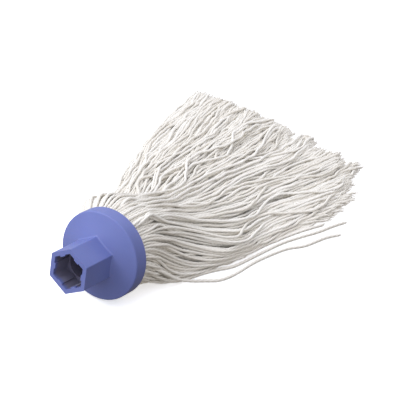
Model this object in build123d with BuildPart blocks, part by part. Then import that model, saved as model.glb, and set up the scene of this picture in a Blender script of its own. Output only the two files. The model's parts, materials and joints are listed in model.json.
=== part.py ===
"""String mop head: a moulded socket cap holding a folded bundle of twisted cotton yarn.

The head lies on a flat surface. +X runs away from the open mouth of the socket, along the
yarn, +Z is up, and the origin is on the surface under the middle of the head.
"""
import os
from math import asin, cos, pi, radians, sin, tan

from build123d import *

# ---- socket cap, measured along its own axis from the front edge of the rim band -------------
RIM_X, RIM_Y = -131.0, -5.0        # rim centre on the surface plan
RIM_RADIUS = 38.0
BAND_DEPTH = 13.0
BAND_WALL = 2.5
CONE_HEIGHT = 6.6
CONE_WALL = 3.0
SOCKET_TILT = 11.8                 # mouth end raised, the band's rear edge on the surface
NECK_SIDES = 6
NECK_CORNER = 20.1                 # radius to the hexagon's corners
NECK_LENGTH = 33.9
NECK_ROLL = -28.7
NECK_WALL = 3.5
NECK_EDGE = 1.2                    # rounding of the hexagon's corner edges
POCKET_DEPTH = 18.0                # the part of the mouth that is hexagonal inside
GRIP_RIB_WIDTH, GRIP_RIB_HEIGHT = 5.0, 1.1
HANDLE_RADIUS = 11.9
HANDLE_DEPTH = 20.5
HUB_RADIUS = 15.0
HUB_FLOOR = -1.0
BOSS_RADIUS, BOSS_END = 8.0, -7.0
BASE_FILLET = 1.6
BASE_REACH = 2.2                   # the neck's base edge stays this near the cone's nominal height
RIM_FILLET = 1.4
LIP_FILLET = 0.6

# ---- clamp that pins the folded yarn in the cap --------------------------------------------
PLUG_RADIUS = 14.0
PLUG_THICKNESS = 4.0
PLUG_EDGE = 1.5
SCREW_RADIUS = 2.0
SCREW_CLEARANCE = 0.3
SCREW_TIP = -1.6
PILOT_RADIUS, PILOT_END = 2.05, -1.2
HEAD_RADIUS, HEAD_HEIGHT = 4.0, 2.4
WASHER_RADIUS, WASHER_THICKNESS = 6.0, 1.0
RECESS_RADIUS, RECESS_DEPTH = 6.4, 2.4

# ---- yarn ----------------------------------------------------------------------------------
STRAND_DIAMETER = 3.0
FAN_WIDTH = 250.0                  # wider than the bundle, to cut the locks from
FOLD_TOP = -3.5                    # the fold starts under the cap's roof
STUB_END = -18.0                   # where the packed yarn leaves the cap
HINGE_BACK, HINGE_HEIGHT = 60.0, 30.0
ROOT_ROUND = 29.5                  # the locks' rounded root ends turn inside this radius
ROOT_START = 26.0
FLARE_START = 100.0
LOCK_GAP = 5.0
ROOT_PITCH = 9.0
TIP_EDGE = 4.0                     # rounding of a lock's end, seen from above
# where the gap lines between locks reach the tips, as distance back from the rim and sideways
TIP_LINES = [(226, -103.8), (250, -87), (276, -68), (294, -38), (302, -3), (304, 38), (306, 78), (300, 114)]
NEAR_EDGE = [(ROOT_START, -29), (58, -36.5), (90, -50), (129, -65), (184, -83)]
FAR_EDGE = [(ROOT_START, 29), (57, 41), (100, 61), (133, 79), (201, 97)]
# height of the bundle over the surface, at distances back from the rim
CREST = [(60, 60), (100, 43), (150, 32), (200, 25), (250, 20), (308, 14)]
DOME = [0.62, 0.84, 0.96, 1.0, 0.96, 0.84, 0.62]

# routes of the loose strands along the surface, as points that their bends cut inside
STRAY_ROUTES = {
    "stray_strand_1": [
        (-114.6, -38.0, 30.3), (-105.5, -38.0, 28.4), (-95.0, -44.5, 20.0), (-85.0, -51.0, 9.0),
        (-73.0, -57.0, 2.6), (-64.0, -65.0, 1.5), (-57.0, -75.0, 1.7), (-41.0, -81.0, 1.5),
        (-19.0, -84.0, 1.7), (1.0, -90.0, 1.5), (18.0, -97.0, 1.7), (29.0, -107.0, 1.5),
        (43.0, -112.0, 1.7), (56.0, -117.0, 1.5), (65.0, -125.0, 1.6)],
    "stray_strand_2": [
        (-115.8, -36.0, 24.4), (-106.7, -36.0, 22.5), (-97.0, -42.0, 14.0), (-86.0, -47.0, 5.2),
        (-73.0, -51.5, 1.6), (-58.0, -58.0, 1.7), (-46.0, -64.5, 1.5), (-34.0, -74.0, 1.7),
        (-17.0, -78.5, 1.5), (2.0, -83.5, 1.7), (21.0, -88.5, 1.5), (40.0, -98.0, 1.7),
        (56.0, -106.5, 1.5), (72.0, -112.0, 1.7), (85.0, -119.0, 1.5)],
    "stray_strand_3": [
        (-117.4, -32.0, 17.1), (-108.3, -32.0, 15.2), (-98.0, -37.5, 8.0), (-86.0, -42.0, 2.2),
        (-73.0, -46.0, 1.6), (-57.0, -53.0, 1.7), (-41.0, -61.5, 1.5), (-23.0, -69.5, 1.7),
        (-5.0, -75.0, 1.5), (15.0, -80.5, 1.7), (35.0, -88.0, 1.5), (55.0, -97.0, 1.7),
        (70.0, -105.0, 1.5)],
}
SAME_SIZE = 0.01                   # radii this near are taken as equal
BEND_SHARE = 0.45                  # how much of the shorter run a bend takes up

tilt_cos, tilt_sin = cos(radians(SOCKET_TILT)), sin(radians(SOCKET_TILT))
RIM_HEIGHT = RIM_RADIUS * tilt_cos + BAND_DEPTH * tilt_sin
rim_centre = Vector(RIM_X, RIM_Y, RIM_HEIGHT)
mouthward = Vector(-tilt_cos, 0, tilt_sin)
across = Plane(origin=rim_centre, x_dir=(0, 1, 0), z_dir=mouthward)
lengthwise = Plane(origin=rim_centre, x_dir=(0, 1, 0), z_dir=(tilt_sin, 0, tilt_cos))
socket_axis = Axis(rim_centre, mouthward)

chamber_radius = RIM_RADIUS - BAND_WALL
neck_end = CONE_HEIGHT + NECK_LENGTH
pocket_floor = neck_end - POCKET_DEPTH
bore_floor = pocket_floor - HANDLE_DEPTH
pocket_corner = NECK_CORNER - NECK_WALL / cos(pi / NECK_SIDES)
cone_top = CONE_HEIGHT * (RIM_RADIUS - HUB_RADIUS) / (RIM_RADIUS - NECK_CORNER)
plug_top = -BAND_DEPTH
plug_end = plug_top - PLUG_THICKNESS
washer_top = plug_end + RECESS_DEPTH
head_top = washer_top - WASHER_THICKNESS


def half_section(points):
    """Section of a round piece on one side of the socket's axis, as radii and heights."""
    with BuildSketch(lengthwise) as section:
        with BuildLine():
            Polyline(*points, close=True)
        make_face()
    return section.sketch


# ---- socket cap ------------------------------------------------------------------------------
with BuildPart() as socket_cap:
    revolve(half_section([
        (0, BOSS_END), (BOSS_RADIUS, BOSS_END), (BOSS_RADIUS, HUB_FLOOR), (HUB_RADIUS, HUB_FLOOR),
        (NECK_CORNER, CONE_HEIGHT - CONE_WALL), (chamber_radius, -CONE_WALL),
        (chamber_radius, -BAND_DEPTH), (RIM_RADIUS, -BAND_DEPTH), (RIM_RADIUS, 0),
        (HUB_RADIUS, cone_top), (0, cone_top)]), axis=socket_axis)
    with BuildSketch(across.offset(CONE_HEIGHT - CONE_WALL / 2)):
        RegularPolygon(NECK_CORNER, NECK_SIDES, rotation=NECK_ROLL)
        fillet(vertices(), NECK_EDGE)
    extrude(amount=NECK_LENGTH + CONE_WALL / 2)
    base_edges = [e for e in socket_cap.edges()
                  if CONE_HEIGHT - BASE_REACH < (e @ 0.5 - rim_centre).dot(mouthward) < CONE_HEIGHT + BASE_REACH
                  and e.distance_to(rim_centre + mouthward * CONE_HEIGHT) > HUB_RADIUS]
    fillet(base_edges, BASE_FILLET)
    with BuildSketch(across.offset(pocket_floor)):
        RegularPolygon(pocket_corner, NECK_SIDES, rotation=NECK_ROLL)
        with PolarLocations(pocket_corner * cos(pi / NECK_SIDES), NECK_SIDES,
                            start_angle=NECK_ROLL + 180 / NECK_SIDES):
            Rectangle(2 * GRIP_RIB_HEIGHT, GRIP_RIB_WIDTH, mode=Mode.SUBTRACT)
    extrude(amount=POCKET_DEPTH, mode=Mode.SUBTRACT)
    with BuildSketch(across.offset(bore_floor)):
        Circle(HANDLE_RADIUS)
    extrude(amount=HANDLE_DEPTH, mode=Mode.SUBTRACT)
    with BuildSketch(across.offset(BOSS_END)):
        Circle(PILOT_RADIUS)
    extrude(amount=PILOT_END - BOSS_END, mode=Mode.SUBTRACT)
    circles = socket_cap.edges().filter_by(GeomType.CIRCLE)
    outer_circles = [e for e in circles if abs(e.radius - RIM_RADIUS) < SAME_SIZE]
    front_edge = max(outer_circles, key=lambda e: (e.arc_center - rim_centre).dot(mouthward))
    rear_edge = min(outer_circles, key=lambda e: (e.arc_center - rim_centre).dot(mouthward))
    fillet(front_edge, RIM_FILLET)
    fillet(rear_edge, LIP_FILLET)

# ---- clamp -----------------------------------------------------------------------------------
with BuildPart() as clamp_plug:
    revolve(half_section([
        (SCREW_RADIUS + SCREW_CLEARANCE, BOSS_END), (BOSS_RADIUS, BOSS_END), (BOSS_RADIUS, plug_top),
        (PLUG_RADIUS, plug_top), (PLUG_RADIUS, plug_end + PLUG_EDGE), (PLUG_RADIUS - PLUG_EDGE, plug_end),
        (RECESS_RADIUS, plug_end), (RECESS_RADIUS, washer_top),
        (SCREW_RADIUS + SCREW_CLEARANCE, washer_top)]), axis=socket_axis)

with BuildPart() as screw_washer:
    revolve(half_section([
        (SCREW_RADIUS + SCREW_CLEARANCE, washer_top), (WASHER_RADIUS, washer_top),
        (WASHER_RADIUS, head_top), (SCREW_RADIUS + SCREW_CLEARANCE, head_top)]), axis=socket_axis)

with BuildPart() as clamp_screw:
    revolve(half_section([
        (0, SCREW_TIP), (SCREW_RADIUS / 2, SCREW_TIP), (SCREW_RADIUS, SCREW_TIP - SCREW_RADIUS),
        (SCREW_RADIUS, head_top), (HEAD_RADIUS, head_top), (HEAD_RADIUS, head_top - HEAD_HEIGHT / 2),
        (HEAD_RADIUS / 2, head_top - HEAD_HEIGHT), (0, head_top - HEAD_HEIGHT)]), axis=socket_axis)

# ---- folded yarn inside the cap ----------------------------------------------------------------
with BuildPart() as yarn_root:
    revolve(half_section([
        (BOSS_RADIUS, BOSS_END), (BOSS_RADIUS, FOLD_TOP), (chamber_radius, FOLD_TOP),
        (chamber_radius, STUB_END), (PLUG_RADIUS, STUB_END), (PLUG_RADIUS, plug_top),
        (BOSS_RADIUS, plug_top)]), axis=socket_axis)

pieces = {
    "socket_cap": socket_cap, "clamp_plug": clamp_plug, "screw_washer": screw_washer,
    "clamp_screw": clamp_screw, "yarn_root": yarn_root}

# ---- locks of yarn, side by side, each in a lower and an upper layer -----------------------------
lock_count = len(DOME)
hinge_x = RIM_X + HINGE_BACK


def gap_line(number):
    """Plan line between two locks: parallel to X past the root ends, then out to the tips."""
    if number == 0:
        return NEAR_EDGE + [TIP_LINES[0]]
    if number == lock_count:
        return FAR_EDGE + [TIP_LINES[-1]]
    root_side = (number - lock_count / 2) * ROOT_PITCH
    return [(ROOT_START, root_side), (FLARE_START, root_side), TIP_LINES[number]]


def plan_outline(number):
    """Outline of one lock seen from above, held back from its neighbours by half the gap."""
    low_shift = LOCK_GAP / 2 if number > 0 else 0
    high_shift = LOCK_GAP / 2 if number < lock_count - 1 else 0
    low = [(RIM_X + x, RIM_Y + y + low_shift) for x, y in gap_line(number)]
    high = [(RIM_X + x, RIM_Y + y - high_shift) for x, y in gap_line(number + 1)]
    return low + high[::-1]


def on_root_circle(angle):
    """Point of the round root end, in the side view."""
    return (hinge_x + ROOT_ROUND * cos(angle), HINGE_HEIGHT + ROOT_ROUND * sin(angle))


def lock_layer(number, upper):
    """One layer of a lock: its side view, cut to its outline in plan."""
    crest = [(RIM_X + x, height * DOME[number]) for x, height in CREST]
    middle = [(x, height / 2) for x, height in crest[1:]]
    root_rise = min(crest[0][1] - HINGE_HEIGHT, ROOT_ROUND)
    shoulder_angle = pi - asin(root_rise / ROOT_ROUND)
    with BuildPart() as layer:
        with BuildSketch(Plane.XZ):
            with BuildLine():
                if upper:
                    ThreePointArc(on_root_circle(pi), on_root_circle((pi + shoulder_angle) / 2),
                                  on_root_circle(shoulder_angle))
                    Polyline(on_root_circle(shoulder_angle), *crest[1:], middle[-1])
                else:
                    ThreePointArc(on_root_circle(pi), on_root_circle(5 * pi / 4), on_root_circle(3 * pi / 2))
                    Polyline(on_root_circle(3 * pi / 2), (hinge_x + ROOT_ROUND / 2, 0), (crest[-1][0], 0),
                             middle[-1])
                Polyline(*middle[::-1], on_root_circle(pi))
            make_face()
        extrude(amount=FAN_WIDTH, both=True)
        with BuildSketch(Plane.XY):
            with BuildLine():
                Polyline(*plan_outline(number), close=True)
            make_face()
        extrude(amount=2 * RIM_RADIUS, mode=Mode.INTERSECT)
        fillet(layer.edges().filter_by(Axis.Z).sort_by(Axis.X)[-2:], TIP_EDGE)
    return layer


for number in range(lock_count):
    pieces[f"yarn_lock_{number + 1}"] = lock_layer(number, upper=False)
    pieces[f"yarn_lock_{number + 1}_upper"] = lock_layer(number, upper=True)


# ---- loose strands on the surface ----------------------------------------------------------------
def bend_radii(route):
    """As large a bend at each inner point as its two runs allow."""
    points = [Vector(*p) for p in route]
    radii = []
    for before, corner, after in zip(points, points[1:], points[2:]):
        turn = radians((corner - before).get_angle(after - corner))
        run = min((corner - before).length, (after - corner).length)
        radii.append(BEND_SHARE * run / tan(turn / 2))
    return radii


for name, route in STRAY_ROUTES.items():
    radii = bend_radii(route)
    with BuildPart() as strand:
        with BuildLine() as path:
            FilletPolyline(*route, radius=radii)
        centre_line = path.wire()
        with BuildSketch(Plane(origin=centre_line @ 0, z_dir=centre_line % 0)) as section:
            Circle(STRAND_DIAMETER / 2)
        sweep(path=centre_line)
    pieces[name] = strand
    expected = section.sketch.area * centre_line.length
    print(f"{name}: length {centre_line.length:.1f}, volume over section x length "
          f"{strand.part.volume / expected:.4f}, smallest bend {min(radii):.1f}")

os.makedirs("parts", exist_ok=True)
for name, piece in pieces.items():
    piece.part.label = name
    export_step(piece.part, f"parts/{name}.step")
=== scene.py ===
"""String mop head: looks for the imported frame, laid out as an add-on and run as a script.

Lengths in the settings are metres. Distances called "back" are measured along the yarn from the
front edge of the cap's rim band, and everything is placed from the frame's nodes and mounts.
"""

import json
import math

import bpy
import numpy as np
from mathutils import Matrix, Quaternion, Vector

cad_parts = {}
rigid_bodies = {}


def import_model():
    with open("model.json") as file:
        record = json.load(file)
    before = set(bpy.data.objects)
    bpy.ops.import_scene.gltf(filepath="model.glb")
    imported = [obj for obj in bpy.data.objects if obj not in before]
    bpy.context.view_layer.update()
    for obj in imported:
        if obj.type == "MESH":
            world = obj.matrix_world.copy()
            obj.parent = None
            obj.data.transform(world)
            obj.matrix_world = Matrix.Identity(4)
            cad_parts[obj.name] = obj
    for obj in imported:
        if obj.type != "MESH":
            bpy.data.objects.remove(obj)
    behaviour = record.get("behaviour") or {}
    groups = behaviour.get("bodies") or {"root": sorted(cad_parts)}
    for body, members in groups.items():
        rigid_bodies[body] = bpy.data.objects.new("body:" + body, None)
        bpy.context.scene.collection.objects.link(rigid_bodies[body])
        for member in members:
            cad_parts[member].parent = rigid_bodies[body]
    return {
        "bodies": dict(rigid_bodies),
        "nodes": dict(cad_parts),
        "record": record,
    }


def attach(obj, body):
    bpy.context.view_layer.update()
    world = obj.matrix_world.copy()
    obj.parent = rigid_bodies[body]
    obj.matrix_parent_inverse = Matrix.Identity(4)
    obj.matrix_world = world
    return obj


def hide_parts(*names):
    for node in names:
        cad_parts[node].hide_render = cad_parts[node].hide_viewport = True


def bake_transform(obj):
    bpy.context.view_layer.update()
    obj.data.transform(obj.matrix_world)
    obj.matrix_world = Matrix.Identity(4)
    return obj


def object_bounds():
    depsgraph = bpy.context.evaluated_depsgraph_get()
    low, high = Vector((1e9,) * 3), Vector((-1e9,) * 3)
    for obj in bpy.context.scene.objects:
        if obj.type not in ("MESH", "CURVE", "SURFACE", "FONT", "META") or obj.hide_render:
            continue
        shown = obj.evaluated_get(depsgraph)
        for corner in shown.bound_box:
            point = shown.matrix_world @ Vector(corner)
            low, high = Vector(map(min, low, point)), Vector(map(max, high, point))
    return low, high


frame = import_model()
CAD_BOX = [list(corner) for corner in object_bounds()]

bl_info = {
    "name": "String Mop Head",
    "version": (1, 0, 0),
    "blender": (4, 5, 0),
    "location": "View3D > Sidebar > Mop Head",
    "description": "Twisted cotton yarn, moulded cap and studio for a string mop head",
    "category": "Object",
}

MM = 0.001
SOCKET = frame["record"]["mounts"][0]
MOUTHWARD = Vector(SOCKET["axis"]).normalized()
REAR_FACE_BEHIND_BORE = 25.25 * MM     # from the bore's middle to the cap's rear face
MOUTH_BEFORE_BORE = 28.25 * MM         # from the bore's middle to the socket's open end
BAND_DEPTH = 13.0 * MM                 # the rim band, front to rear
REAR_CENTRE = Vector(SOCKET["pos_m"]) - MOUTHWARD * REAR_FACE_BEHIND_BORE
RIM_CENTRE = REAR_CENTRE + MOUTHWARD * BAND_DEPTH
SIDEWAYS = Vector((0, 1, 0))
CAP_UPWARD = MOUTHWARD.cross(SIDEWAYS) * -1
LOCKS = sorted(name for name in frame["bodies"] if name.startswith("lock_"))


# ---- settings --------------------------------------------------------------------------------
class CapSettings(bpy.types.PropertyGroup):
    plastic: bpy.props.StringProperty(
        name="Cap colour", description="Moulded polypropylene, sRGB hex", default="5F6AA5")
    roughness: bpy.props.FloatProperty(
        name="Cap roughness", description="Satin of the moulded surface", default=0.42,
        min=0, max=1, subtype="FACTOR")
    clamp: bpy.props.StringProperty(
        name="Clamp colour", description="Undyed moulded nylon, sRGB hex", default="D8D4C8")
    steel: bpy.props.StringProperty(
        name="Screw colour", description="Zinc plated steel, sRGB hex", default="C4C6C8")


class YarnSettings(bpy.types.PropertyGroup):
    diameter: bpy.props.FloatProperty(
        name="Strand diameter", description="Across the twisted plies", default=2.7 * MM,
        min=1 * MM, max=6 * MM, unit="LENGTH")
    pitch: bpy.props.FloatProperty(
        name="Packing pitch", description="Between neighbouring strands in the cap", default=2.4 * MM,
        min=1 * MM, max=8 * MM, unit="LENGTH")
    twist: bpy.props.FloatProperty(
        name="Lay length", description="Length of one full turn of a ply", default=15 * MM,
        min=4 * MM, max=40 * MM, unit="LENGTH")
    plies: bpy.props.IntProperty(
        name="Plies", description="Yarns twisted into one strand", default=3, min=2, max=6)
    cotton: bpy.props.StringProperty(
        name="Cotton colour", description="Undyed cotton, sRGB hex", default="F4F0E7")
    shade: bpy.props.StringProperty(
        name="Cotton shade", description="The darker strands, sRGB hex", default="E8E2D6")
    seed: bpy.props.IntProperty(name="Seed", description="Lay of the strands", default=11, min=0)
    settle: bpy.props.IntProperty(
        name="Settling steps", description="Rounds of weight and contact", default=110, min=0)


class StudioSettings(bpy.types.PropertyGroup):
    lens: bpy.props.FloatProperty(
        name="Lens", description="Focal length in millimetres", default=121.45, min=10)
    tilt: bpy.props.FloatProperty(
        name="Tilt", description="Turn of the camera about its own axis", default=math.radians(3.07),
        unit="ROTATION")
    floor: bpy.props.StringProperty(
        name="Floor colour", description="Matt white sweep, sRGB hex", default="FFFFFF")
    table_glow: bpy.props.FloatProperty(
        name="Table glow", description="Light of the table's own surface", default=0.5, min=0)
    key_power: bpy.props.FloatProperty(
        name="Key light", description="Soft box over the far side, watts", default=5.5, min=0)
    fill: bpy.props.FloatProperty(
        name="Fill", description="Light from the room's lit side", default=1.39, min=0)
    dim: bpy.props.FloatProperty(
        name="Dim side", description="Light from the room's far side", default=0.2, min=0)


# ---- small helpers -----------------------------------------------------------------------------
def linear(code):
    """An sRGB hex colour as the linear RGBA that a shader takes."""
    channels = [int(code[i:i + 2], 16) / 255 for i in (0, 2, 4)]
    return [c / 12.92 if c <= 0.04045 else ((c + 0.055) / 1.055) ** 2.4 for c in channels] + [1.0]


def smooth(value, start, end):
    """0 before start, 1 after end, and an even S between them."""
    t = np.clip((value - start) / (end - start), 0, 1)
    return t * t * (3 - 2 * t)


def add_node(tree, kind, settings=None, values=None, links=None):
    """One shader node with its settings, its unlinked socket values and its incoming links."""
    made = tree.nodes.new(kind)
    for name, value in (settings or {}).items():
        setattr(made, name, value)
    for socket, value in (values or {}).items():
        made.inputs[socket].default_value = value
    for socket, source in (links or {}).items():
        tree.links.new(source, made.inputs[socket])
    return made


def new_material(name, values):
    """A material with its Principled shader, whose uniform values sit on its own sockets."""
    material = bpy.data.materials.new(name)
    material.use_nodes = True
    shader = material.node_tree.nodes["Principled BSDF"]
    for socket, value in values.items():
        shader.inputs[socket].default_value = value
    return material, material.node_tree, shader


def dress(node, material):
    """Gives a CAD node its material."""
    piece = frame["nodes"][node]
    piece.data.materials.clear()
    piece.data.materials.append(material)


def mesh_piece(name, points, faces, material, attributes):
    """A smooth-shaded mesh object from arrays: points, a list of face arrays, and point values."""
    mesh = bpy.data.meshes.new(name)
    mesh.vertices.add(len(points))
    mesh.vertices.foreach_set("co", points.astype(np.float32).ravel())
    corners = np.concatenate([f.ravel() for f in faces])
    sizes = np.concatenate([np.full(len(f), f.shape[1]) for f in faces])
    mesh.loops.add(len(corners))
    mesh.loops.foreach_set("vertex_index", corners.astype(np.int32))
    mesh.polygons.add(len(sizes))
    mesh.polygons.foreach_set("loop_start", (np.cumsum(sizes) - sizes).astype(np.int32))
    mesh.polygons.foreach_set("use_smooth", np.ones(len(sizes), bool))
    mesh.update(calc_edges=True)
    for key, values in attributes.items():
        mesh.attributes.new(key, "FLOAT", "POINT").data.foreach_set("value", values.astype(np.float32))
    mesh.materials.append(material)
    piece = bpy.data.objects.new(name, mesh)
    bpy.context.scene.collection.objects.link(piece)
    return piece


# ---- materials ---------------------------------------------------------------------------------
GROOVE_SHADE_COLOUR = "A79D8B"              # painted shade on the cotton in the groove between two plies
GROOVE_SHADE_SHARE = 0.22
FIBRE = 0.35 * MM                     # real fibres are 0.02 mm: coarser, so that they show


def twisted_cotton(settings):
    """Undyed cotton, loosely twisted: dull, with soft fuzz that lights its edges, flecks of tone, and
    painted shade in the grooves between plies.
    """
    material, tree, shader = new_material("twisted_cotton_undyed", {
        "Roughness": 0.92, "IOR": 1.5, "Specular IOR Level": 0.25, "Sheen Weight": 0.3,
        "Sheen Roughness": 0.5})
    place = add_node(tree, "ShaderNodeNewGeometry").outputs["Position"]
    tone = add_node(tree, "ShaderNodeAttribute", {"attribute_name": "tone"}).outputs["Fac"]
    groove = add_node(tree, "ShaderNodeAttribute", {"attribute_name": "groove"}).outputs["Fac"]
    fleck = add_node(tree, "ShaderNodeTexNoise", values={"Scale": 0.12 / FIBRE, "Detail": 3.0},
                     links={"Vector": place}).outputs["Fac"]
    fuzz = add_node(tree, "ShaderNodeTexNoise", values={"Scale": 1 / FIBRE, "Detail": 2.0},
                    links={"Vector": place}).outputs["Fac"]
    spread = add_node(tree, "ShaderNodeMath", {"operation": "MULTIPLY_ADD"}, {1: 0.5, 2: -0.1},
                      {0: fleck}).outputs[0]
    share = add_node(tree, "ShaderNodeMath", {"operation": "ADD", "use_clamp": True},
                     links={0: tone, 1: spread}).outputs[0]
    cotton = add_node(tree, "ShaderNodeMix", {"data_type": "RGBA"},
                      {"A": linear(settings.cotton), "B": linear(settings.shade)},
                      {"Factor": share}).outputs["Result"]
    # painted shade: the groove points between plies are mixed toward the dark groove colour
    deep = add_node(tree, "ShaderNodeMath", {"operation": "MULTIPLY"}, {1: GROOVE_SHADE_SHARE},
                    {0: groove}).outputs[0]
    shaded = add_node(tree, "ShaderNodeMix", {"data_type": "RGBA"}, {"B": linear(GROOVE_SHADE_COLOUR)},
                      {"Factor": deep, "A": cotton}).outputs["Result"]
    tree.links.new(shaded, shader.inputs["Base Color"])
    bump = add_node(tree, "ShaderNodeBump", values={"Strength": 0.35, "Distance": 0.15 * MM},
                    links={"Height": fuzz}).outputs["Normal"]
    tree.links.new(bump, shader.inputs["Normal"])
    return material


FLOW_COLOUR = "6C76B0"                # the dye where the melt flowed last
SPARK_GRAIN = 0.5 * MM                # of the sparked mould, coarser than the real 0.1 mm so that it shows
SOCKET_SHADE_COLOUR = "77727F"                # painted shade inside the socket, dark grey
SOCKET_SHADE_SHARE = 0.85
SHADE_START, SHADE_FULL = 0.3 * MM, 5 * MM         # depth from the socket's mouth
SHADE_INNER, SHADE_OUTER = 16.3 * MM, 17.2 * MM    # radius: the socket's wall outside gets no painted shade


def moulded_polypropylene(settings):
    """Dyed polypropylene from a fine-sparked mould: satin, a little soft at its edges, with painted shade
    inside the socket.
    """
    material, tree, shader = new_material("moulded_polypropylene_blue", {
        "Roughness": settings.roughness, "IOR": 1.49, "Subsurface Weight": 0.06,
        "Subsurface Scale": 2 * MM})
    place = add_node(tree, "ShaderNodeNewGeometry").outputs["Position"]
    flow = add_node(tree, "ShaderNodeTexNoise", values={"Scale": 0.02 / SPARK_GRAIN, "Detail": 2.0},
                    links={"Vector": place}).outputs["Fac"]
    spark = add_node(tree, "ShaderNodeTexNoise", values={"Scale": 1 / SPARK_GRAIN, "Detail": 2.0},
                     links={"Vector": place}).outputs["Fac"]
    dye = add_node(tree, "ShaderNodeMix", {"data_type": "RGBA"},
                   {"A": linear(settings.plastic), "B": linear(FLOW_COLOUR)},
                   {"Factor": flow}).outputs["Result"]
    # painted shade inside the socket: darker with depth from the mouth, within the bore's radius
    mouth = Vector(SOCKET["pos_m"]) + MOUTHWARD * MOUTH_BEFORE_BORE
    offset = add_node(tree, "ShaderNodeVectorMath", {"operation": "SUBTRACT"}, {1: mouth},
                      {0: place}).outputs[0]
    depth = add_node(tree, "ShaderNodeVectorMath", {"operation": "DOT_PRODUCT"}, {1: -MOUTHWARD},
                     {0: offset}).outputs["Value"]
    across = add_node(tree, "ShaderNodeVectorMath", {"operation": "CROSS_PRODUCT"}, {1: MOUTHWARD},
                      {0: offset}).outputs[0]
    radius = add_node(tree, "ShaderNodeVectorMath", {"operation": "LENGTH"},
                      links={0: across}).outputs["Value"]
    deep = add_node(tree, "ShaderNodeMapRange", {"interpolation_type": "SMOOTHSTEP"},
                    {"From Min": SHADE_START, "From Max": SHADE_FULL}, {"Value": depth}).outputs["Result"]
    inner = add_node(tree, "ShaderNodeMapRange", {"interpolation_type": "SMOOTHSTEP"},
                     {"From Min": SHADE_OUTER, "From Max": SHADE_INNER}, {"Value": radius}).outputs["Result"]
    shade_mask = add_node(tree, "ShaderNodeMath", {"operation": "MULTIPLY"},
                     links={0: deep, 1: inner}).outputs[0]
    # strength of the painted shade inside the socket
    socket_shade = add_node(tree, "ShaderNodeMath", {"operation": "MULTIPLY"}, {1: SOCKET_SHADE_SHARE},
                    {0: shade_mask}).outputs[0]
    dye = add_node(tree, "ShaderNodeMix", {"data_type": "RGBA"}, {"B": linear(SOCKET_SHADE_COLOUR)},
                   {"Factor": socket_shade, "A": dye}).outputs["Result"]
    tree.links.new(dye, shader.inputs["Base Color"])
    bump = add_node(tree, "ShaderNodeBump", values={"Strength": 0.12, "Distance": 0.1 * MM},
                    links={"Height": spark}).outputs["Normal"]
    tree.links.new(bump, shader.inputs["Normal"])
    return material


TABLE_COLOUR = "FFFFFF"


def lit_acrylic(settings):
    """White acrylic shooting table, matt on top and lit from beneath, so that shadows stay faint."""
    material, tree, shader = new_material("matt_acrylic_table", {
        "Roughness": 0.8, "Emission Strength": settings.table_glow, "Emission Color": linear(TABLE_COLOUR)})
    shader.inputs["Base Color"].default_value = linear(settings.floor)
    return material


NYLON_FLOW_COLOUR = "CBC6B8"
NYLON_FLOW = 1000 / 60 * MM           # width of the cloudy flow marks


def moulded_nylon(settings):
    """Undyed nylon moulding: pale, slightly glossy, with cloudy flow marks."""
    material, tree, shader = new_material("moulded_nylon_natural", {"Roughness": 0.45, "IOR": 1.53})
    place = add_node(tree, "ShaderNodeNewGeometry").outputs["Position"]
    flow = add_node(tree, "ShaderNodeTexNoise", values={"Scale": 1 / NYLON_FLOW},
                    links={"Vector": place}).outputs["Fac"]
    tint = add_node(tree, "ShaderNodeMix", {"data_type": "RGBA"},
                    {"A": linear(settings.clamp), "B": linear(NYLON_FLOW_COLOUR)},
                    {"Factor": flow}).outputs["Result"]
    tree.links.new(tint, shader.inputs["Base Color"])
    return material


ZINC_SHADE = "AEB0B2"
ZINC_SPANGLE = 0.4 * MM               # size of the plating's bright and dull patches


def zinc_plated_steel(settings):
    """Bright zinc over turned steel: metallic, with a fine mottle of bright and dull patches."""
    material, tree, shader = new_material("zinc_plated_steel_turned", {"Metallic": 1.0, "Roughness": 0.32})
    place = add_node(tree, "ShaderNodeNewGeometry").outputs["Position"]
    mottle = add_node(tree, "ShaderNodeTexNoise", values={"Scale": 1 / ZINC_SPANGLE},
                      links={"Vector": place}).outputs["Fac"]
    tint = add_node(tree, "ShaderNodeMix", {"data_type": "RGBA"},
                    {"A": linear(settings.steel), "B": linear(ZINC_SHADE)},
                    {"Factor": mottle}).outputs["Result"]
    tree.links.new(tint, shader.inputs["Base Color"])
    return material


MADE = {}


def shared_material(maker, settings):
    """Makes a material once, however many pieces wear it."""
    if maker not in MADE:
        MADE[maker] = maker(settings)
    return MADE[maker]


# ---- one strand's surface ------------------------------------------------------------------------
RING_SPACING = 1.7 * MM
PLY_RADII = (0.82, 1.0, 1.0)          # the groove between two plies, then the two sides of one
THICK_AND_THIN, THICK_EVERY = 0.05, 9 * MM       # spun yarn swells by this share, at this rhythm
FRAY_LENGTH = 10 * MM
FRAY_SPACING = 2 * MM
FRAY_AROUND = 5
FRAY_RADIUS = 0.22                    # of the strand's diameter, and FRAY_TAPER less at its end
FRAY_TAPER = 0.6
FRAY_START = 0.24                     # distance of a ply from the strand's middle, before it splays
FRAY_SPLAY = (0.15, 1.1)              # and the least and most that its end adds to that
MAIN_PLY_SPLAY = 0.05


def resample(path, spacing):
    """Points evenly spaced along a path, on a smooth curve through its points."""
    steps = np.linalg.norm(np.diff(path, axis=0), axis=1)
    reach = np.concatenate([[0], np.cumsum(steps)])
    count = max(4, int(round(reach[-1] / spacing)) + 1)
    at = np.linspace(0, reach[-1], count)
    index = np.clip(np.searchsorted(reach, at, "right") - 1, 0, len(path) - 2)
    t = ((at - reach[index]) / steps[index])[:, None]
    padded = np.vstack([2 * path[0] - path[1], path, 2 * path[-1] - path[-2]])
    a, b, c, d = (padded[index + k] for k in range(4))
    return 0.5 * (2 * b + (c - a) * t + (2 * a - 5 * b + 4 * c - d) * t ** 2
                  + (3 * b - a - 3 * c + d) * t ** 3)


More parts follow.
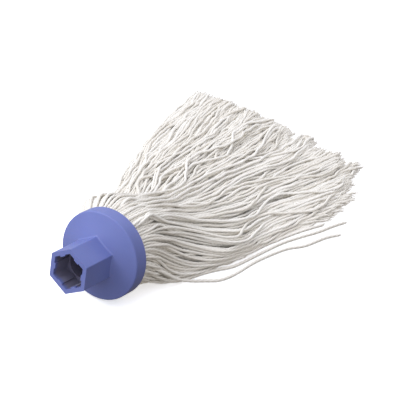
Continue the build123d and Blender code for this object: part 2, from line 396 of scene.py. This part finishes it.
def rings(path, radii, angles):
    """Closed rings of points across a path; radii and angles are one row for each ring."""
    along = np.gradient(path, axis=0)
    along /= np.linalg.norm(along, axis=1, keepdims=True)
    side = np.cross(along, (0.0, 0.0, 1.0))
    side /= np.linalg.norm(side, axis=1, keepdims=True)
    up = np.cross(side, along)
    return (path[:, None] + (np.cos(angles) * radii)[..., None] * side[:, None]
            + (np.sin(angles) * radii)[..., None] * up[:, None])


def tube_faces(ring_count, around):
    """Quads between rings, and a fan of triangles that closes each end at its middle point."""
    ring = np.arange(ring_count - 1)[:, None] * around
    step = np.arange(around)[None]
    following = (step + 1) % around
    quads = np.stack([ring + step, ring + following, ring + around + following, ring + around + step], -1)
    first, last = ring_count * around, ring_count * around + 1
    end = (ring_count - 1) * around
    start_fan = np.stack([np.full(around, first), following[0], step[0]], -1)
    end_fan = np.stack([np.full(around, last), end + step[0], end + following[0]], -1)
    return quads.reshape(-1, 4), np.vstack([start_fan, end_fan])


class Batch:
    """Gathers tubes, so that many strands become one mesh."""

    def __init__(self):
        self.points, self.quads, self.triangles = [], [], []
        self.values = {"tone": [], "groove": []}
        self.total = 0

    def add_tube(self, path, radii, angles, tone, groove):
        body = rings(path, radii, angles)
        count, around = angles.shape
        quads, triangles = tube_faces(count, around)
        self.points.append(np.vstack([body.reshape(-1, 3), path[[0, -1]]]))
        self.quads.append(quads + self.total)
        self.triangles.append(triangles + self.total)
        self.values["tone"].append(np.full(count * around + 2, tone))
        # the two end points get half of the painted groove shade
        self.values["groove"].append(np.concatenate([np.tile(groove, count), [0.5, 0.5]]))
        self.total += count * around + 2

    def piece(self, name, material):
        return mesh_piece(name, np.vstack(self.points), [np.vstack(self.quads), np.vstack(self.triangles)],
                          material, {key: np.concatenate(v) for key, v in self.values.items()})


def add_strand(batch, path, settings, tone, turn, random, loose_end=FRAY_LENGTH, diameter=None):
    """A strand of twisted plies along a path, whose last millimetres open into loose plies."""
    diameter = diameter or settings.diameter
    line = resample(path, RING_SPACING)
    spacing = np.linalg.norm(line[1] - line[0])
    fray = int(loose_end / spacing)
    body = line[:len(line) - fray + 2] if fray else line
    around = settings.plies * len(PLY_RADII)
    section = np.tile(PLY_RADII, settings.plies)
    twist = 2 * math.pi * spacing / settings.twist
    spin = turn + np.arange(len(line))[:, None] * twist
    swell = 1 + THICK_AND_THIN * np.sin(np.arange(len(body)) * spacing / THICK_EVERY + 7 * turn)
    taper = np.minimum(1, (len(body) - np.arange(len(body))) / 2.5)
    radii = section[None] * (diameter / 2 * swell * taper)[:, None]
    angles = 2 * math.pi * np.arange(around)[None] / around + spin[:len(body)]
    # the points between plies carry the painted groove shade
    batch.add_tube(body, radii, angles, tone, (section < 0.9).astype(float))
    if not fray:
        return
    step = max(1, int(FRAY_SPACING / spacing))
    tail = line[-fray - 2::step]
    opened = spin[-fray - 2::step]
    share = np.linspace(0, 1, len(tail))[:, None]
    for ply in range(settings.plies):
        angle = opened + 2 * math.pi * (ply + 0.5) / settings.plies
        opening = random.uniform(*FRAY_SPLAY) if ply else MAIN_PLY_SPLAY
        splay = diameter * (FRAY_START + opening * share ** 2)
        centre = rings(tail, splay, angle)[:, 0]
        centre[:, 2] = np.maximum(centre[:, 2], diameter * 0.2)    # stays on the surface
        keep = max(3, int(len(tail) * random.uniform(0.6, 1))) if ply else len(tail)
        thin = diameter * FRAY_RADIUS * (1 - FRAY_TAPER * (share[:keep] / share[keep - 1]) ** 2)
        corners = np.tile(2 * math.pi * np.arange(FRAY_AROUND) / FRAY_AROUND, (keep, 1))
        # the loose plies carry a little of the painted groove shade
        batch.add_tube(centre[:keep], np.tile(thin, (1, FRAY_AROUND)), corners, tone,
                       np.full(FRAY_AROUND, 0.15))


# ---- how the bundle lies ---------------------------------------------------------------------------
# plan of the bundle on the surface: distance back from the rim, and its two side edges
PLAN_BACK = np.array([14, 30, 47, 68, 89, 106, 129, 155, 184, 204, 222, 260, 320]) * MM
PLAN_NEAR = np.array([-34, -35, -41, -50, -58, -63, -68, -76, -85, -93, -101, -115, -132]) * MM
PLAN_FAR = np.array([34, 46, 58, 66, 70, 73, 80, 89, 97, 101, 105, 114, 125]) * MM
# reach of the tips, from the near edge across to the far one
TIP_SHARE = np.array([0, 0.05, 0.14, 0.23, 0.34, 0.47, 0.59, 0.71, 0.84, 1])
TIP_BACK = np.array([216, 240, 270, 293, 306, 306, 309, 322, 334, 330]) * MM
# height of the bundle's crest
CREST_BACK = np.array([14, 40, 60, 100, 150, 200, 250, 320]) * MM
CREST = np.array([74, 67, 57, 43, 33, 27, 22, 15]) * MM
NEAR_DROP, FAR_DROP = 0.5, 0.72       # how far the bundle's sides fall below its crest
INNER_RADIUS, OUTER_RADIUS = 14.6 * MM, 35.2 * MM
FOLD_TOP = 3.5 * MM                   # the fold starts this far under the cap's roof edge
CAP_DEPTH = 2 * MM                    # the locks' strands start this far inside the rear face
POINT_SPACING = 3.5 * MM
HELD_POINTS = 4
PRESSED = 0.84                        # strands press into each other's fuzz to this share of their width
COLUMNS = 26
DRAPE = 0.55
SWELL, FAR_SWELL = 0.1, 0.52          # the bundle opens by these shares as it leaves the cap
CLUMPS = 40


def packed_places(settings, random):
    """Places of the strands' centres in the ring between clamp and cap, packed like rods."""
    radius = settings.diameter / 2
    steps = np.arange(-20, 21)
    row, column = np.meshgrid(steps, steps)
    places = np.stack([(column + row % 2 / 2) * settings.pitch, row * settings.pitch * math.sqrt(0.75)], -1)
    places = places.reshape(-1, 2)
    distance = np.linalg.norm(places, axis=1)
    places = places[(distance > INNER_RADIUS + radius) & (distance < OUTER_RADIUS - radius)]
    return places + random.uniform(-0.06, 0.06, places.shape) * settings.pitch


def wander(random, count, back, wavelength, amplitude):
    """A smooth sideways drift for each of count strands, at distances back from the rim."""
    waves = 0
    for share in (1.0, 0.62):
        phase = random.uniform(0, 2 * math.pi, (count, 1))
        length = wavelength * share * random.uniform(0.8, 1.25, (count, 1))
        waves = waves + share * np.sin(2 * math.pi * back / length + phase)
    return amplitude * waves / 1.62


def mound(across, back):
    """Height over the crest's at a place across the bundle, 0 to 1: square near the cap, then low."""
    steep = 4 - 1.8 * smooth(back, 50 * MM, 130 * MM)
    drop = np.where(across < 0.5, NEAR_DROP, FAR_DROP)
    return 1 - drop * np.abs(2 * across - 1) ** steep


def first_lay(settings, random):
    """Routes of the strands before they settle: (strands, points, 3), with their layer, 0 to 1."""
    places = packed_places(settings, random)
    count = len(places)
    side, height = places[:, 0], places[:, 1]
    # the strands at the top of the cap drape outwards over the lower ones
    drape = side * (1 + DRAPE * height / OUTER_RADIUS) + random.normal(0, 1.3 * MM, count)
    rank = np.argsort(np.argsort(drape)) / (count - 1)
    grid = np.linspace(0, 1, 201)
    filled = np.cumsum(mound(grid, 150 * MM))
    share = np.interp(rank, filled / filled[-1], grid)
    column = np.minimum((rank * COLUMNS).astype(int), COLUMNS - 1)
    layer = np.zeros(count)
    for number in range(COLUMNS):
        members = np.flatnonzero(column == number)
        order = np.argsort(np.argsort(height[members] + random.normal(0, 1.8 * MM, len(members))))
        layer[members] = (order + 0.5) / len(members)
    # strands gather into clumps, whose middles drift together
    middles = np.stack([random.uniform(0, 1, CLUMPS), random.uniform(0, 1, CLUMPS)], -1)
    gap = np.hypot((share[:, None] - middles[None, :, 0]) * 5, (layer[:, None] - middles[None, :, 1]) * 1.3)
    clump = gap.argmin(1)
    clump_share = np.array([share[clump == c].mean() if (clump == c).any() else 0 for c in range(CLUMPS)])

    reach = np.interp(share, TIP_SHARE, TIP_BACK) + random.normal(0, 5 * MM, CLUMPS)[clump]
    reach = reach + random.normal(0, 3 * MM, count) - 8 * MM * (layer > 0.75) * random.uniform(0, 1, count)
    reach = np.minimum(reach, CAD_BOX[1][0] - RIM_CENTRE.x + random.uniform(11, 18.5, count) * MM)
    points = int(TIP_BACK.max() / POINT_SPACING) + 8
    start = BAND_DEPTH - CAP_DEPTH
    back = start + (reach[:, None] - start) * np.linspace(0, 1, points)[None]

    gather = 0.42 * smooth(back, 120 * MM, 290 * MM)
    drift = (clump_share[clump] - share)[:, None] * gather
    near, far = np.interp(back, PLAN_BACK, PLAN_NEAR), np.interp(back, PLAN_BACK, PLAN_FAR)
    loose = smooth(back, 30 * MM, 110 * MM)
    across = np.clip(share[:, None] + drift, 0, 1)
    plan = near + (far - near) * across
    clump_wave = wander(random, CLUMPS, np.linspace(0, 1, points)[None] * 300 * MM, 190 * MM, 5 * MM)
    plan += (clump_wave[clump] + wander(random, count, back, 110 * MM, 1.6 * MM)) * loose
    free = (random.uniform(0, 1, count) < 0.07)[:, None]
    plan += free * wander(random, count, back, 150 * MM, 9 * MM) * loose
    plan = np.clip(plan, near - 2 * MM, far + 2 * MM)
    edge = np.abs(2 * share - 1)
    leave = 16 * MM + 52 * MM * layer * (1 - 0.5 * edge)
    arrive = 60 * MM + 135 * MM * layer * (1 - 0.7 * edge ** 2)
    spread = smooth(back, leave[:, None], arrive[:, None])
    far_side = np.clip(side / OUTER_RADIUS, 0, 1)[:, None]
    swell = 1 + (SWELL + FAR_SWELL * far_side) * smooth(back, 11 * MM, 42 * MM)
    plan = side[:, None] * swell * (1 - spread) + plan * spread

    crest = np.interp(back, CREST_BACK, CREST) * mound(across, back)
    lying = settings.diameter / 2 + (crest - settings.diameter) * (layer[:, None] + 0.2 * free)
    upright = REAR_CENTRE.z + height[:, None] * swell * CAP_UPWARD.z - (back - BAND_DEPTH) * MOUTHWARD.z
    fall = smooth(back, (16 + 12 * far_side) * MM,
                  (50 + 64 * layer * (1 - 0.25 * edge))[:, None] * MM + 28 * MM * far_side)
    level = upright * (1 - fall) + lying * fall
    kink = wander(random, count, back, 27 * MM, 0.55 * MM) * (1 + 0.35 * smooth(back, 130 * MM, 290 * MM))
    level = level + wander(random, count, back + 9 * MM, 33 * MM, 0.35 * MM) * loose
    # a few top strands stand up in an arc just behind the cap
    sprung = (layer > 0.9) & (side < 6 * MM) & (random.uniform(0, 1, count) < 0.15)
    arc = np.exp(-((back - random.uniform(34, 48, (count, 1)) * MM) / (13 * MM)) ** 2)
    level = level + (sprung * random.uniform(3, 8, count))[:, None] * MM * arc
    lean = height[:, None] * CAP_UPWARD.x * (1 - smooth(back, 14 * MM, 70 * MM))
    routes = np.stack([RIM_CENTRE.x + back + lean, RIM_CENTRE.y + plan + kink * loose, level], -1)
    return routes, layer


def near_pairs(points, reach):
    """Pairs of points nearer than reach, found in columns of cells of that size."""
    cells = np.floor((points - points.min(0)) / reach).astype(np.int64) + 1
    size = cells.max(0) + 2
    keys = (cells[:, 0] * size[1] + cells[:, 1]) * size[2] + cells[:, 2]
    order = np.argsort(keys, kind="stable")
    ranked = keys[order]
    found = []
    for step_x, step_y in ((0, 0), (0, 1), (1, -1), (1, 0), (1, 1)):
        step = (step_x * size[1] + step_y) * size[2]
        low = np.searchsorted(ranked, ranked + step - 1, "left")
        if step == 0:
            low = np.arange(1, len(ranked) + 1)
        high = np.searchsorted(ranked, ranked + step + 1, "right")
        number = np.maximum(high - low, 0)
        first = np.repeat(np.arange(len(ranked)), number)
        second = np.repeat(low - (np.cumsum(number) - number), number) + np.arange(number.sum())
        found.append((order[first], order[second]))
    a, b = (np.concatenate(pair) for pair in zip(*found))
    close = ((points[a] - points[b]) ** 2).sum(1) < reach ** 2
    return a[close], b[close]


CONTACT_MARGIN = 1.6 * MM             # pairs are listed this far apart, so that a list serves some rounds
PAIRS_EVERY = 4
SINK = 0.1 * MM                       # weight's step in one round, reached between these distances back
SINK_FROM, SINK_FULL = 30 * MM, 150 * MM
STIFFNESS = 0.45                      # share of an unwanted bend that a round takes out


def settle(routes, settings):
    """Lets the strands sink, rest on the surface and on each other, and keep their lengths."""
    count, points, _ = routes.shape
    lay = routes.copy()
    gaps = np.linalg.norm(np.diff(routes, axis=1), axis=2)
    bend = lay[:, 1:-1] - (lay[:, :-2] + lay[:, 2:]) / 2
    strand = np.repeat(np.arange(count), points)
    width = settings.diameter * PRESSED
    back = routes[..., 0] - RIM_CENTRE.x
    weight = SINK * smooth(back, SINK_FROM, SINK_FULL)
    hold = 0.02 * smooth(back, 16 * MM, 40 * MM)[..., None] * np.array([0.3, 1, 0])
    for step in range(settings.settle):
        if step % PAIRS_EVERY == 0:
            a, b = near_pairs(lay.reshape(-1, 3), width + CONTACT_MARGIN)
            other = strand[a] != strand[b]
            a, b = a[other], b[other]
        lay[..., 2] -= weight * (1 if step < settings.settle * 0.8 else 0.3)
        lay += (routes - lay) * hold
        curve = lay[:, 1:-1] - (lay[:, :-2] + lay[:, 2:]) / 2 - bend
        lay[:, 1:-1] -= STIFFNESS * curve
        flat = lay.reshape(-1, 3)
        along = np.gradient(lay, axis=1).reshape(-1, 3)
        along /= np.linalg.norm(along, axis=1, keepdims=True)
        lie = along[a] + along[b]
        lie /= np.linalg.norm(lie, axis=1, keepdims=True) + 1e-9
        apart = flat[a] - flat[b]
        slip = (apart * lie).sum(1)
        apart -= slip[:, None] * lie
        distance = np.linalg.norm(apart, axis=1) + 1e-9
        share = np.clip(1 - np.abs(slip) / POINT_SPACING, 0, 1)
        push = np.clip(width - distance, 0, None) * share / distance
        shift = apart * push[:, None] * 0.5
        total = np.zeros_like(flat)
        for axis in range(3):
            total[:, axis] = (np.bincount(a, shift[:, axis], len(flat))
                              - np.bincount(b, shift[:, axis], len(flat)))
        load = np.bincount(a, share * (push > 0), len(flat)) + np.bincount(b, share * (push > 0), len(flat))
        flat += total * (1.3 / np.maximum(1, load))[:, None]
        lay = flat.reshape(lay.shape)
        for parity in (0, 1):
            part = lay[:, parity + 1::2] - lay[:, parity:-1:2][:, :lay[:, parity + 1::2].shape[1]]
            size = np.linalg.norm(part, axis=2, keepdims=True)
            want = gaps[:, parity::2][..., None]
            fix = part * (0.5 * (1 - want / size))
            lay[:, parity:-1:2][:, :fix.shape[1]] += fix
            lay[:, parity + 1::2] -= fix
        lay[..., 2] = np.maximum(lay[..., 2], settings.diameter / 2)
        lay[:, :HELD_POINTS] = routes[:, :HELD_POINTS]
    return lay


# ---- pieces ----------------------------------------------------------------------------------------
GAPS_BACK = 200 * MM                  # where the gaps between the locks are measured, across the bundle
LOCK_GAPS = np.array([-65.5, -44.5, -21.8, 0.8, 25.5, 55.0]) * MM
STRAY_DIAMETER = 3 * MM
STRAY_FRAY = 6 * MM
STRAY_ROUTES = {
    "stray_strand_1": [
        (-114.6, -38.0, 30.3), (-105.5, -38.0, 28.4), (-95.0, -44.5, 20.0), (-85.0, -51.0, 9.0),
        (-73.0, -57.0, 2.6), (-64.0, -65.0, 1.5), (-57.0, -75.0, 1.7), (-41.0, -81.0, 1.5),
        (-19.0, -84.0, 1.7), (1.0, -90.0, 1.5), (18.0, -97.0, 1.7), (29.0, -107.0, 1.5),
        (43.0, -112.0, 1.7), (56.0, -117.0, 1.5), (65.0, -125.0, 1.6)],
    "stray_strand_2": [
        (-115.8, -36.0, 24.4), (-106.7, -36.0, 22.5), (-97.0, -42.0, 14.0), (-86.0, -47.0, 5.2),
        (-73.0, -51.5, 1.6), (-58.0, -58.0, 1.7), (-46.0, -64.5, 1.5), (-34.0, -74.0, 1.7),
        (-17.0, -78.5, 1.5), (2.0, -83.5, 1.7), (21.0, -88.5, 1.5), (40.0, -98.0, 1.7),
        (56.0, -106.5, 1.5), (72.0, -112.0, 1.7), (85.0, -119.0, 1.5)],
    "stray_strand_3": [
        (-117.4, -32.0, 17.1), (-108.3, -32.0, 15.2), (-98.0, -37.5, 8.0), (-86.0, -42.0, 2.2),
        (-73.0, -46.0, 1.6), (-57.0, -53.0, 1.7), (-41.0, -61.5, 1.5), (-23.0, -69.5, 1.7),
        (-5.0, -75.0, 1.5), (15.0, -80.5, 1.7), (35.0, -88.0, 1.5), (55.0, -97.0, 1.7),
        (70.0, -105.0, 1.5)],
}


def spline_points(name, route):
    """Points read along the smooth curve that has the route's points as its control points."""
    curve = bpy.data.curves.new(name + "_route", "CURVE")
    curve.dimensions = "3D"
    curve.resolution_u = 12
    spline = curve.splines.new("NURBS")
    spline.points.add(len(route) - 1)
    for point, place in zip(spline.points, route):
        point.co = (*(v * MM for v in place), 1)
    spline.order_u = 3
    spline.use_endpoint_u = True
    holder = bpy.data.objects.new(name + "_route", curve)
    bpy.context.scene.collection.objects.link(holder)
    line = bpy.data.meshes.new_from_object(holder)
    points = np.array([v.co[:] for v in line.vertices])
    bpy.data.objects.remove(holder)
    bpy.data.meshes.remove(line)
    bpy.data.curves.remove(curve)
    return points


AIM = RIM_CENTRE + Vector((133.3, -8.2, -14.9)) * MM
CAMERA_PLACE = RIM_CENTRE + Vector((-683.9, -536.9, 670.0)) * MM
TABLE_SIZE = 6
LIT_SIDE = (-0.2, 0.38, 1.0)          # direction from the object to the brightest part of the room
DIM_AT, LIT_AT = -0.75, 0.85          # how far a direction leans to the lit side
DIM_COLOUR, LIT_COLOUR = "FFEDD0", "F1F4FF"
KEY_COLOUR = (0.95, 0.97, 1.0)
KEY_SIZE = 0.45
KEY_FROM_AIM = Vector((-0.6, 0.6, 0.9))


class MOP_OT_studio(bpy.types.Operator):
    """Pale sweep, soft light and the camera"""
    bl_idname = "mop.studio"
    bl_label = "Studio"

    def execute(self, context):
        settings = context.scene.mop_studio
        scene = context.scene
        scene.view_settings.view_transform = "Standard"
        camera = bpy.data.objects.new("camera", bpy.data.cameras.new("camera"))
        camera.data.lens = settings.lens
        camera.data.clip_start = 0.05
        camera.location = CAMERA_PLACE
        upright = (AIM - CAMERA_PLACE).to_track_quat("-Z", "Y")
        camera.rotation_euler = (upright @ Quaternion((0, 0, 1), settings.tilt)).to_euler()
        scene.collection.objects.link(camera)
        scene.camera = camera

        bpy.ops.mesh.primitive_grid_add(x_subdivisions=8, y_subdivisions=8, size=TABLE_SIZE)
        floor = context.active_object
        floor.name = "floor"
        floor.data.materials.append(lit_acrylic(settings))
        floor.visible_diffuse = False
        floor.visible_glossy = False

        world = bpy.data.worlds.new("room")
        world.use_nodes = True
        tree = world.node_tree
        toward = add_node(tree, "ShaderNodeTexCoord").outputs["Generated"]
        side = Vector(LIT_SIDE).normalized()
        facing = add_node(tree, "ShaderNodeVectorMath", {"operation": "DOT_PRODUCT"}, {1: side},
                          {0: toward}).outputs["Value"]
        level = add_node(tree, "ShaderNodeMapRange", {"interpolation_type": "SMOOTHSTEP"},
                         {"From Min": DIM_AT, "From Max": LIT_AT, "To Min": settings.dim,
                          "To Max": settings.fill}, {"Value": facing}).outputs["Result"]
        tree.links.new(level, tree.nodes["Background"].inputs["Strength"])
        warm = add_node(tree, "ShaderNodeMix", {"data_type": "RGBA"},
                        {"A": linear(DIM_COLOUR), "B": linear(LIT_COLOUR)},
                        {"Factor": level}).outputs["Result"]
        tree.links.new(warm, tree.nodes["Background"].inputs["Color"])
        scene.world = world
        key = bpy.data.objects.new("key_light", bpy.data.lights.new("key_light", "AREA"))
        key.data.size = KEY_SIZE
        key.data.color = KEY_COLOUR
        key.data.energy = settings.key_power
        key.location = AIM + KEY_FROM_AIM
        key.rotation_euler = (AIM - key.location).to_track_quat("-Z", "Y").to_euler()
        scene.collection.objects.link(key)
        return {"FINISHED"}


class MOP_OT_loose_strands(bpy.types.Operator):
    """Loose strands that lie beside the bundle"""
    bl_idname = "mop.loose_strands"
    bl_label = "Loose strands"

    def execute(self, context):
        settings = context.scene.mop_yarn
        random = np.random.default_rng(settings.seed + 5)
        cotton = shared_material(twisted_cotton, settings)
        for name, route in STRAY_ROUTES.items():
            points = spline_points(name, route)
            batch = Batch()
            add_strand(batch, points, settings, random.uniform(0.2, 0.6), random.uniform(0, 6), random,
                       loose_end=STRAY_FRAY, diameter=STRAY_DIAMETER)
            piece = batch.piece("yarn_" + name, cotton)
            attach(piece, "root")
            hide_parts(name)
        return {"FINISHED"}


class MOP_OT_yarn(bpy.types.Operator):
    """Locks of twisted strands that hang from the cap and lie on the surface"""
    bl_idname = "mop.yarn"
    bl_label = "Yarn"

    def execute(self, context):
        settings = context.scene.mop_yarn
        random = np.random.default_rng(settings.seed)
        cotton = shared_material(twisted_cotton, settings)
        routes, layer = first_lay(settings, random)
        routes = settle(routes, settings)
        at_gaps = np.argmin(np.abs(routes[..., 0] - RIM_CENTRE.x - GAPS_BACK), axis=1)
        owner = np.searchsorted(LOCK_GAPS, routes[np.arange(len(routes)), at_gaps, 1] - RIM_CENTRE.y)
        upper = layer > 0.5
        for number, lock in enumerate(LOCKS):
            for top in (False, True):
                batch = Batch()
                for strand in np.flatnonzero((owner == number) & (upper == top)):
                    add_strand(batch, routes[strand], settings, random.uniform(0, 0.9) ** 1.5,
                               random.uniform(0, 6), random)
                node = f"yarn_{lock}_upper" if top else f"yarn_{lock}"
                piece = batch.piece("strands_" + lock + ("_upper" if top else "_lower"), cotton)
                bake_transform(piece)
                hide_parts(node)
        return {"FINISHED"}


# the fold's line: distance inwards from the strand's place, and how far under the fold's top
FOLD_LINE = ((11 * MM, 0), (6 * MM, 0), (2.5 * MM, 0.6 * MM), (0.5 * MM, 2.6 * MM))
FOLD_LEAN = 0.4                       # the inner folds lie this much lower than the outer ones


class MOP_OT_fold(bpy.types.Operator):
    """Yarn folded over the clamp inside the cap"""
    bl_idname = "mop.fold"
    bl_label = "Folded yarn"

    def execute(self, context):
        settings = context.scene.mop_yarn
        random = np.random.default_rng(settings.seed)
        places = packed_places(settings, random)
        batch = Batch()
        for side, height in places:
            radius = math.hypot(side, height)
            outward = (SIDEWAYS * side + CAP_UPWARD * height) / radius
            level = -FOLD_TOP - settings.diameter / 2 - FOLD_LEAN * (OUTER_RADIUS - radius)
            profile = [(radius - inwards, level - under) for inwards, under in FOLD_LINE]
            profile.append((radius, -BAND_DEPTH + CAP_DEPTH - 1 * MM))
            path = np.array([RIM_CENTRE + outward * r + MOUTHWARD * h for r, h in profile])
            add_strand(batch, resample(path, 1 * MM), settings, random.uniform(0, 0.9) ** 1.5,
                       random.uniform(0, 6), random, loose_end=0)
        piece = batch.piece("folded_strands", shared_material(twisted_cotton, settings))
        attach(piece, "root")
        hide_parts("yarn_root")
        return {"FINISHED"}


class MOP_OT_cap(bpy.types.Operator):
    """Moulded cap, clamp plug, screw and washer"""
    bl_idname = "mop.cap"
    bl_label = "Cap and clamp"

    def execute(self, context):
        settings = context.scene.mop_cap
        dress("socket_cap", shared_material(moulded_polypropylene, settings))
        dress("clamp_plug", shared_material(moulded_nylon, settings))
        dress("clamp_screw", shared_material(zinc_plated_steel, settings))
        dress("screw_washer", shared_material(zinc_plated_steel, settings))
        return {"FINISHED"}


class MOP_PT_panel(bpy.types.Panel):
    """Lists the pieces in the order in which they are made"""
    bl_idname = "MOP_PT_panel"
    bl_label = "Mop Head"
    bl_space_type = "VIEW_3D"
    bl_region_type = "UI"
    bl_category = "Mop Head"

    def draw(self, context):
        for settings in (context.scene.mop_studio, context.scene.mop_yarn, context.scene.mop_cap):
            for name in settings.bl_rna.properties.keys()[2:]:
                self.layout.prop(settings, name)
        for operator in OPERATORS:
            self.layout.operator(operator.bl_idname)


OPERATORS = (MOP_OT_studio, MOP_OT_loose_strands, MOP_OT_fold, MOP_OT_yarn, MOP_OT_cap)
SETTINGS = {"mop_cap": CapSettings, "mop_yarn": YarnSettings, "mop_studio": StudioSettings}


def register():
    for kind in (*SETTINGS.values(), *OPERATORS, MOP_PT_panel):
        bpy.utils.register_class(kind)
    for name, kind in SETTINGS.items():
        setattr(bpy.types.Scene, name, bpy.props.PointerProperty(type=kind))


def unregister():
    for name in SETTINGS:
        delattr(bpy.types.Scene, name)
    for kind in reversed((*SETTINGS.values(), *OPERATORS, MOP_PT_panel)):
        bpy.utils.unregister_class(kind)


def main():
    register()
    bpy.ops.mop.studio()
    bpy.ops.mop.loose_strands()
    bpy.ops.mop.fold()
    bpy.ops.mop.yarn()
    bpy.ops.mop.cap()


if __name__ == "__main__":
    main()
